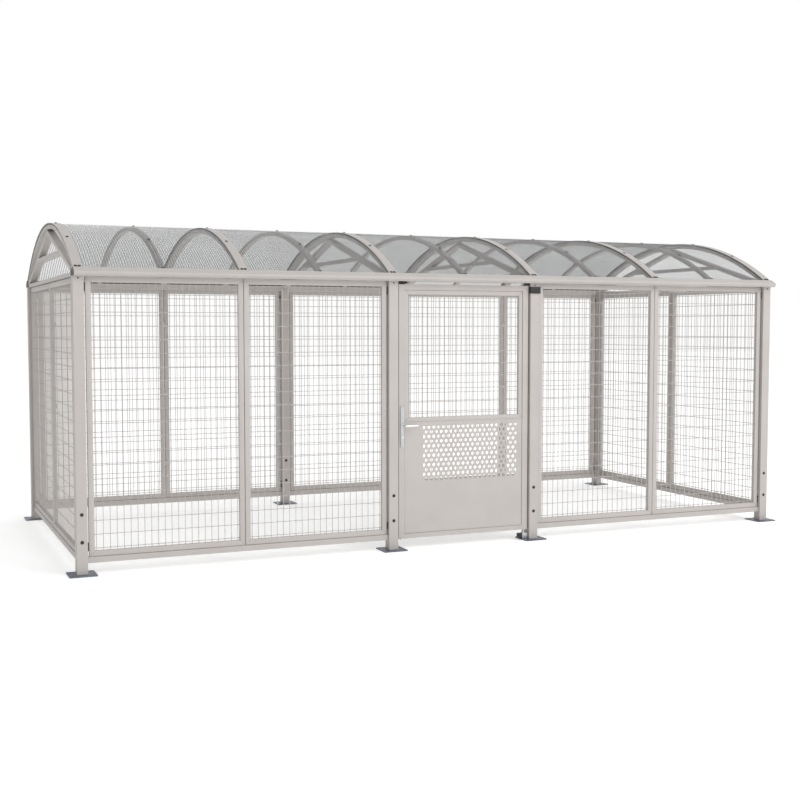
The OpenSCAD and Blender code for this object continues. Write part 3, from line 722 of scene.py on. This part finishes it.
class CAGE_OT_roof_bolts(bpy.types.Operator):
    """Domed bolts with sealing washers on the cover strips and middle ribs"""
    bl_idname = "cage.roof_bolts"
    bl_label = "Roof bolts"

    def execute(self, context):
        s = sizes()
        axis_z, outer, _, reach = roof_arc()
        strip_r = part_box("cover_strips")[1].z - axis_z
        lines = roof_lines()
        foot = math.degrees(math.asin((reach - 0.016) / strip_r))
        shape = Shape()
        for side in (-1, 1):
            for angle in (7.0, 20.5):
                for line in lines:
                    dome(shape, on_roof(line, side * angle, strip_r, axis_z), s.bolt_head, 0.0055, 0.0018)
            for line in lines:
                for dx in (-s.bolt_pair / 2, s.bolt_pair / 2):
                    dome(shape, on_roof(line + dx, side * foot, strip_r, axis_z), s.bolt_head, 0.0055, 0.0018)
            for a, b in zip(lines, lines[1:]):
                for angle in (7.0, 20.5, foot):
                    dome(shape, on_roof((a + b) / 2, side * angle, outer, axis_z), s.bolt_head, 0.0055,
                         0.0024)
        shape.finish("domed_roof_bolts", [finish_for("dark_bolts")], "frame", "dark_bolts", ["roof_bolts"])
        return {"FINISHED"}


def on_roof(x, angle, radius, axis_z):
    """Place on the roof's circle, with w pointing out along the radius."""
    a = math.radians(angle)
    out = Vector((0.0, math.sin(a), math.cos(a)))
    along = Vector((0.0, math.cos(a), -math.sin(a)))
    foot = Vector((x, 0.0, axis_z)) + out * (radius + 0.0001)
    return lambda u, v, w: foot + Vector((u, 0.0, 0.0)) + along * v + out * w


class CAGE_OT_levers(bpy.types.Operator):
    """Outer and inner door levers, bent from round bar, with turned collars"""
    bl_idname = "cage.levers"
    bl_label = "Levers"

    def execute(self, context):
        s = sizes()
        for node, facing in (("lever_outer", -1), ("lever_inner", 1)):
            low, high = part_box(node)
            x, z = low.x + 0.01, (low.z + high.z) / 2
            plate_low, plate_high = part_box("lock_plates")
            start = (plate_low.y if facing < 0 else plate_high.y) + facing * 0.0003
            stand = 0.048
            bend = 0.016
            grip = s.lever_grip
            path = [(x, start, z), (x, start + facing * (stand - bend), z)]
            for k in range(1, 7):
                a = math.radians(90.0 * k / 6)
                path.append((x + bend * (1 - math.cos(a)),
                             start + facing * (stand - bend + bend * math.sin(a)), z))
            tip = x + 0.118
            for share in (0.3, 0.6, 0.85):
                path.append((x + bend + (tip - grip - x - bend) * share, start + facing * stand, z))
            radii = [grip * 0.95] * (len(path) - 3) + [grip, grip, grip * 1.02]
            for k in range(7):
                a = math.radians(86.0 * k / 6)
                path.append((tip - grip + grip * math.sin(a), start + facing * stand, z))
                radii.append(grip * 1.02 * math.cos(a))
            shape = Shape()
            shape.sweep(path, radii, 28)

            def place(u, v, w, x=x, z=z, start=start, facing=facing):
                return (x + u, start + facing * w, z + v)
            shape.turned([(0.0125, 0.0), (0.0135, 0.0008), (0.0135, 0.005), (0.0120, 0.0065),
                          (0.0088, 0.0068)], place, 40)
            if node == "lever_outer":
                shape.turned([(0.0049, -0.0563), (0.0049, 0.001)], place, 24)
            shape.finish("bent_" + node, [finish_for("chrome")], "lever", "chrome", [node])
        return {"FINISHED"}


class CAGE_OT_lock_plates(bpy.types.Operator):
    """Long lock plates with rounded ends, screws and a cylinder hole"""
    bl_idname = "cage.lock_plates"
    bl_label = "Lock plates"

    def execute(self, context):
        low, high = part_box("lock_plates")
        leaf_low, leaf_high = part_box("leaf_frame")
        mid = (low.x + high.x) / 2
        cylinder_low, cylinder_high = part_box("cylinder_body")
        cylinder_z = (cylinder_low.z + cylinder_high.z) / 2
        lever_low, lever_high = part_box("lever_outer")
        lever_z = (lever_low.z + lever_high.z) / 2
        for name, inner, outer, facing in (("lock_plate_outer", leaf_low.y, low.y, -1),
                                           ("lock_plate_inner", leaf_high.y, high.y, 1)):
            shape = Shape()
            thick = abs(outer - inner)

            def place(u, v, w, inner=inner, facing=facing):
                return (u, inner + facing * w, v)
            plate_with_holes(shape, place, low.x, high.x, low.z, high.z, thick,
                             [(mid, cylinder_z, 0.0092), (mid, lever_z, 0.0051)])

            def screw_at(z, outer=outer, facing=facing):
                return lambda u, v, w: (mid + u, outer + facing * w, z + v)
            for z in (low.z + 0.016, high.z - 0.016):
                dome(shape, screw_at(z), 0.0038, 0.0012, 0.0)
            nodes = ["lock_plates"] if facing < 0 else []
            shape.finish(name, [finish_for("lock_steel")], "door", "lock_steel", nodes)
        return {"FINISHED"}


def plate_with_holes(shape, place, x0, x1, z0, z1, thick, holes):
    """A flat plate with round corners and chamfered round holes, built from outline and hole rings."""
    chamfer = 0.0016
    bands = []
    cuts = sorted(holes, key=lambda hole: hole[1])
    middles = [z0] + [(a[1] + b[1]) / 2 for a, b in zip(cuts, cuts[1:])] + [z1]
    for (hx, hz, radius), bottom, top in zip(cuts, middles, middles[1:]):
        bands.append((hx, hz, radius, bottom, top))
    mesh = shape.mesh
    layers = [(0.0, 0.0), (0.0, thick - chamfer), (chamfer, thick)]
    corner = 0.006

    for hx, hz, radius, bottom, top in bands:
        outer_rings, hole_rings = [], []
        for shrink, w in layers:
            low_z = bottom + (shrink if bottom == z0 else 0.0)
            high_z = top - (shrink if top == z1 else 0.0)
            outline = rounded_band(x0 + shrink, x1 - shrink, low_z, high_z, corner,
                                   bottom == z0, top == z1, hx, hz)
            outer_rings.append([mesh.verts.new(place(x, z, w)) for x, z in outline])
            count = len(outline)
            ring = []
            for x, z in outline:
                a = math.atan2(z - hz, x - hx)
                grow = radius + (0.0006 if w == thick else 0.0)
                ring.append(mesh.verts.new(place(hx + grow * math.cos(a), hz + grow * math.sin(a), w)))
            hole_rings.append(ring)
        for ring_set in (outer_rings, hole_rings):
            for a, b in zip(ring_set, ring_set[1:]):
                for k in range(count):
                    mesh.faces.new((a[k], a[(k + 1) % count], b[(k + 1) % count], b[k]))
        for layer in (0, -1):
            for k in range(count):
                mesh.faces.new((outer_rings[layer][k], outer_rings[layer][(k + 1) % count],
                                hole_rings[layer][(k + 1) % count], hole_rings[layer][k]))


def rounded_band(x0, x1, z0, z1, corner, round_low, round_high, hx, hz):
    """Outline of one band of a plate, evenly pointed, with round corners where the plate ends."""
    points = []
    spread = 8

    def line(ax, az, bx, bz):
        for k in range(spread):
            points.append((ax + (bx - ax) * k / spread, az + (bz - az) * k / spread))

    def turn(cx, cz, start):
        for k in range(5):
            a = math.radians(start + 90.0 * k / 5)
            points.append((cx + corner * math.cos(a), cz + corner * math.sin(a)))
    low, high = (corner if round_low else 0.0), (corner if round_high else 0.0)
    line(x0 + low, z0, x1 - low, z0)
    if round_low:
        turn(x1 - corner, z0 + corner, 270.0)
    line(x1, z0 + low, x1, z1 - high)
    if round_high:
        turn(x1 - corner, z1 - corner, 0.0)
    line(x1 - high, z1, x0 + high, z1)
    if round_high:
        turn(x0 + corner, z1 - corner, 90.0)
    line(x0, z1 - high, x0, z0 + low)
    if round_low:
        turn(x0 + corner, z0 + corner, 180.0)
    return points


class CAGE_OT_black_covers(bpy.types.Operator):
    """Moulded black covers with rounded edges at the door's pivots"""
    bl_idname = "cage.black_covers"
    bl_label = "Black covers"

    def execute(self, context):
        shape = Shape()
        low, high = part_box("bottom_pivot_cap")
        shape.block(low, high, 0.004, 3)
        shape.finish("pivot_cap", [finish_for("black_trim")], "frame", "black_trim", ["bottom_pivot_cap"])
        low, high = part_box("top_pivot_cover")
        post_low, post_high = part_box("post_door_hinge")
        face = post_low.y - 0.0002
        shape = Shape()
        left, right = post_low.x - 0.0002, post_high.x + 0.0002
        outline = [(low.x, low.y), (high.x, low.y), (high.x, high.y), (right, high.y),
                   (right, face), (left, face), (left, high.y), (low.x, high.y)]
        shape.prism(outline, lambda u, v, w: (u, v, low.z + w), high.z - low.z, 0.0022, 3)
        shape.finish("pivot_cover", [finish_for("black_trim")], "frame", "black_trim", ["top_pivot_cover"])
        return {"FINISHED"}


class CAGE_OT_lower_pivot(bpy.types.Operator):
    """Silver pivot body at the foot of the hinge post, with a turned collar and pin"""
    bl_idname = "cage.lower_pivot"
    bl_label = "Lower pivot"

    def execute(self, context):
        low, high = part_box("bottom_pivot")
        leaf_low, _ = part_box("leaf_frame")
        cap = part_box("bottom_pivot_cap")[1]
        pin_x = cap.x + 0.02
        pin_y = (low.y + high.y) / 2
        top = low.z + 0.05
        shape = Shape()
        shape.block((low.x, low.y, low.z), (high.x, high.y, top), 0.003, 3)
        place = upright(pin_x, pin_y, top)
        collar = leaf_low.z - 0.002 - top
        shape.turned([(0.0150, -0.001), (0.0150, collar * 0.3), (0.0136, collar * 0.4),
                      (0.0136, collar - 0.001),
                      (0.0126, collar)], place, 32)
        shape.turned([(0.0079, collar - 0.001), (0.0079, high.z - top - 0.001), (0.0070, high.z - top)],
                     place, 32)
        for y in (low.y + 0.010, high.y - 0.010):
            dome(shape, upright(low.x + 0.012, y, top), 0.004, 0.002, 0.0)
        shape.finish("pivot_body", [finish_for("lock_steel")], "frame", "lock_steel", ["bottom_pivot"])
        return {"FINISHED"}


class CAGE_OT_drop_bolt(bpy.types.Operator):
    """Drop bolt with a rounded tip and a turned knob"""
    bl_idname = "cage.drop_bolt"
    bl_label = "Drop bolt"

    def execute(self, context):
        low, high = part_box("drop_bolt")
        x = (low.x + high.x) / 2
        radius = 0.007
        y = low.y + radius
        shape = Shape()
        path = [(x, y, low.z + radius * (1 - math.cos(math.radians(15 * k)))) for k in range(7)]
        radii = [max(0.0012, radius * math.sin(math.radians(15 * k))) for k in range(7)]
        path += [(x, y, high.z - 0.002), (x, y, high.z)]
        radii += [radius, radius * 0.75]
        shape.sweep(path, radii, 24)
        z = high.z - 0.022

        def place(u, v, w):
            return (x + u, y + w, z + v)
        reach = high.y - y
        shape.turned([(0.0042, 0.0), (0.0042, reach - 0.018), (0.0052, reach - 0.016),
                      (0.0060, reach - 0.010),
                      (0.0060, reach - 0.002), (0.0045, reach)], place, 24)
        shape.finish("drop_bolt_rod", [finish_for("dark_bolts")], "dropbolt", "dark_bolts", ["drop_bolt"])
        return {"FINISHED"}


# ---------- Stage ----------

class CAGE_OT_stage(bpy.types.Operator):
    """Pale floor, soft studio lights and the camera"""
    bl_idname = "cage.stage"
    bl_label = "Stage"

    def execute(self, context):
        scene = context.scene
        floor = Finish("studio_floor")
        tone = tuple(colours().floor)
        floor.join(floor.ramp(floor.noise(0.6), shade(tone, 0.995), tone), "Base Color")
        floor.set(Roughness=0.85, Specular_IOR_Level=0.1,
                  Emission_Color=(1.0, 1.0, 1.0, 1.0), Emission_Strength=0.32)
        mesh = bmesh.new()
        bmesh.ops.create_grid(mesh, x_segments=2, y_segments=2, size=60.0)
        data = bpy.data.meshes.new("studio_floor")
        mesh.to_mesh(data)
        mesh.free()
        data.materials.append(floor.material)
        plane = bpy.data.objects.new("studio_floor", data)
        plane.location = (0.0, 0.0, -0.0005)
        scene.collection.objects.link(plane)

        world = bpy.data.worlds.new("studio_air")
        world.use_nodes = True
        air = world.node_tree.nodes["Background"]
        air.inputs["Color"].default_value = (1.0, 1.0, 1.0, 1.0)
        place = world.node_tree.nodes.new("ShaderNodeTexCoord")
        split = world.node_tree.nodes.new("ShaderNodeSeparateXYZ")
        shading = world.node_tree.nodes.new("ShaderNodeMapRange")
        for name, value in (("From Min", -0.9), ("From Max", -0.1), ("To Min", 0.3), ("To Max", 1.0)):
            shading.inputs[name].default_value = value
        world.node_tree.links.new(place.outputs["Generated"], split.inputs["Vector"])
        world.node_tree.links.new(split.outputs["X"], shading.inputs["Value"])
        world.node_tree.links.new(shading.outputs["Result"], air.inputs["Strength"])
        scene.world = world
        for name, place, aim, power, size in (
                ("key_light", (5.0, -10.0, 8.0), (0.0, 0.0, 1.0), 420.0, 6.0),
                ("fill_light", (-3.0, -12.0, 5.0), (0.0, 0.0, 1.0), 120.0, 6.0)):
            light = bpy.data.lights.new(name, "AREA")
            light.energy = power
            light.size = size
            lamp = bpy.data.objects.new(name, light)
            lamp.location = place
            lamp.rotation_euler = (Vector(aim) - Vector(place)).to_track_quat("-Z", "Y").to_euler()
            scene.collection.objects.link(lamp)

        view = bpy.data.cameras.new("studio_camera")
        view.lens = 53.57
        view.sensor_width = 36.0
        view.clip_end = 300.0
        camera = bpy.data.objects.new("studio_camera", view)
        camera.location = (-4.348, -10.058, 1.779)
        camera.rotation_euler = (math.radians(86.5), 0.0, math.radians(-23.53))
        scene.collection.objects.link(camera)
        scene.camera = camera
        scene.view_settings.view_transform = "Standard"
        scene.cycles.transparent_max_bounces = 48
        return {"FINISHED"}


OPERATORS = (
    CAGE_OT_cad_finishes,
    CAGE_OT_wall_panels,
    CAGE_OT_door_infill,
    CAGE_OT_roof_sheets,
    CAGE_OT_strip_gaskets,
    CAGE_OT_eave_lips,
    CAGE_OT_post_bolts,
    CAGE_OT_roof_bolts,
    CAGE_OT_levers,
    CAGE_OT_lock_plates,
    CAGE_OT_black_covers,
    CAGE_OT_lower_pivot,
    CAGE_OT_drop_bolt,
    CAGE_OT_stage,
)


class CAGE_PT_panel(bpy.types.Panel):
    """Lists the cage's pieces in the 3D view's sidebar"""
    bl_idname = "CAGE_PT_panel"
    bl_label = "Kennel Cage"
    bl_space_type = "VIEW_3D"
    bl_region_type = "UI"
    bl_category = "Kennel Cage"

    def draw(self, context):
        for group in (context.scene.cage_sizes, context.scene.cage_colours):
            for name in group.bl_rna.properties.keys():
                if name not in ("rna_type", "name"):
                    self.layout.prop(group, name)
        for operator in OPERATORS:
            self.layout.operator(operator.bl_idname)


CLASSES = (CageSizes, CageColours, *OPERATORS, CAGE_PT_panel)


def register():
    for item in CLASSES:
        bpy.utils.register_class(item)
    bpy.types.Scene.cage_sizes = bpy.props.PointerProperty(type=CageSizes)
    bpy.types.Scene.cage_colours = bpy.props.PointerProperty(type=CageColours)


def unregister():
    del bpy.types.Scene.cage_colours
    del bpy.types.Scene.cage_sizes
    for item in reversed(CLASSES):
        bpy.utils.unregister_class(item)


def main():
    register()
    for operator in OPERATORS:
        group, name = operator.bl_idname.split(".")
        if getattr(getattr(bpy.ops, group), name)() != {"FINISHED"}:
            raise RuntimeError(f"{operator.bl_idname} did not finish")


if __name__ == "__main__":
    main()
